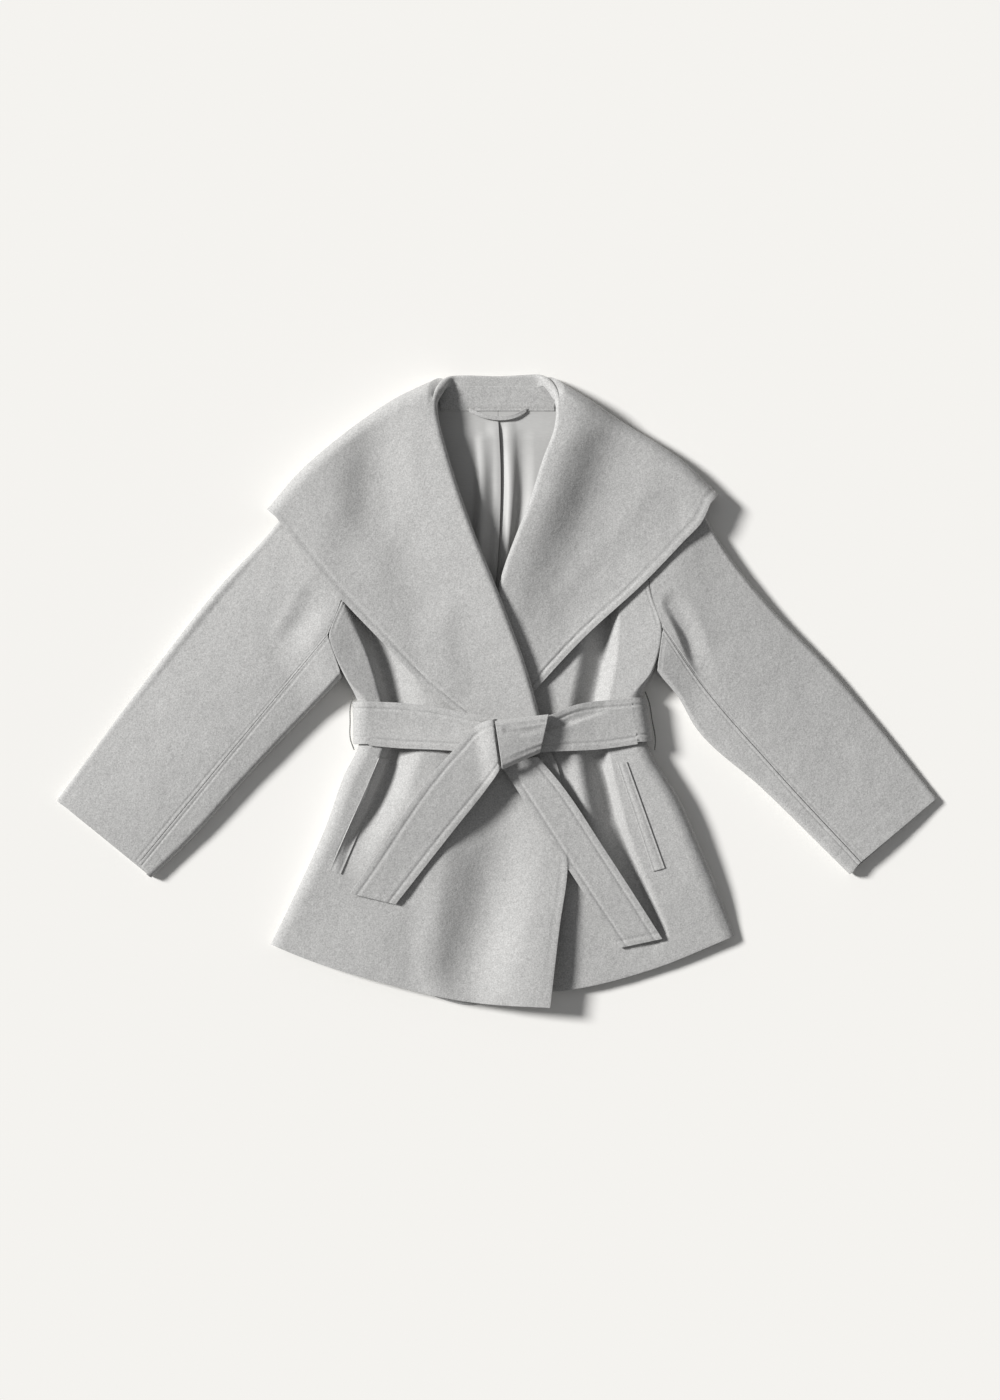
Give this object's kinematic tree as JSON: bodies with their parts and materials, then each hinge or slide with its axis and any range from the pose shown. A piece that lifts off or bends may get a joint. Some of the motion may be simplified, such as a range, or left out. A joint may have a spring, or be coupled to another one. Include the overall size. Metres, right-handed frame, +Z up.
{
  "type": "wrap coat",
  "caption": "Short wrap coat of pale grey felted wool, laid flat, with a wide shawl collar, tied belt, welt pockets and satin lining at the neck.",
  "frame": {"origin": "centre of the laid-out coat on the surface that it rests on", "axes": "+X to the right as seen from above, along the sleeves; +Y towards the collar; +Z up from the surface"},
  "size_m": [1.06, 0.763, 0.0632],
  "materials": {
    "wool": "matte felted wool with a short nap",
    "satin": "smooth satin lining with a soft sheen"
  },
  "bodies": {
    "root": {"back": "wool", "belt_back": "wool", "belt_knot": "wool", "belt_left": "wool", "belt_loop_left": "wool", "belt_loop_right": "wool", "belt_right": "wool", "belt_tail_left": "wool", "belt_tail_right": "wool", "collar": "wool", "front_over": "wool", "front_under": "wool", "hanger_loop": "wool", "lining_left": "satin", "lining_right": "satin", "neck_facing": "wool", "pocket_welt_left": "wool", "pocket_welt_right": "wool", "sleeve_left_under": "wool", "sleeve_left_upper": "wool", "sleeve_right_under": "wool", "sleeve_right_upper": "wool"}
  },
  "joints": []
}
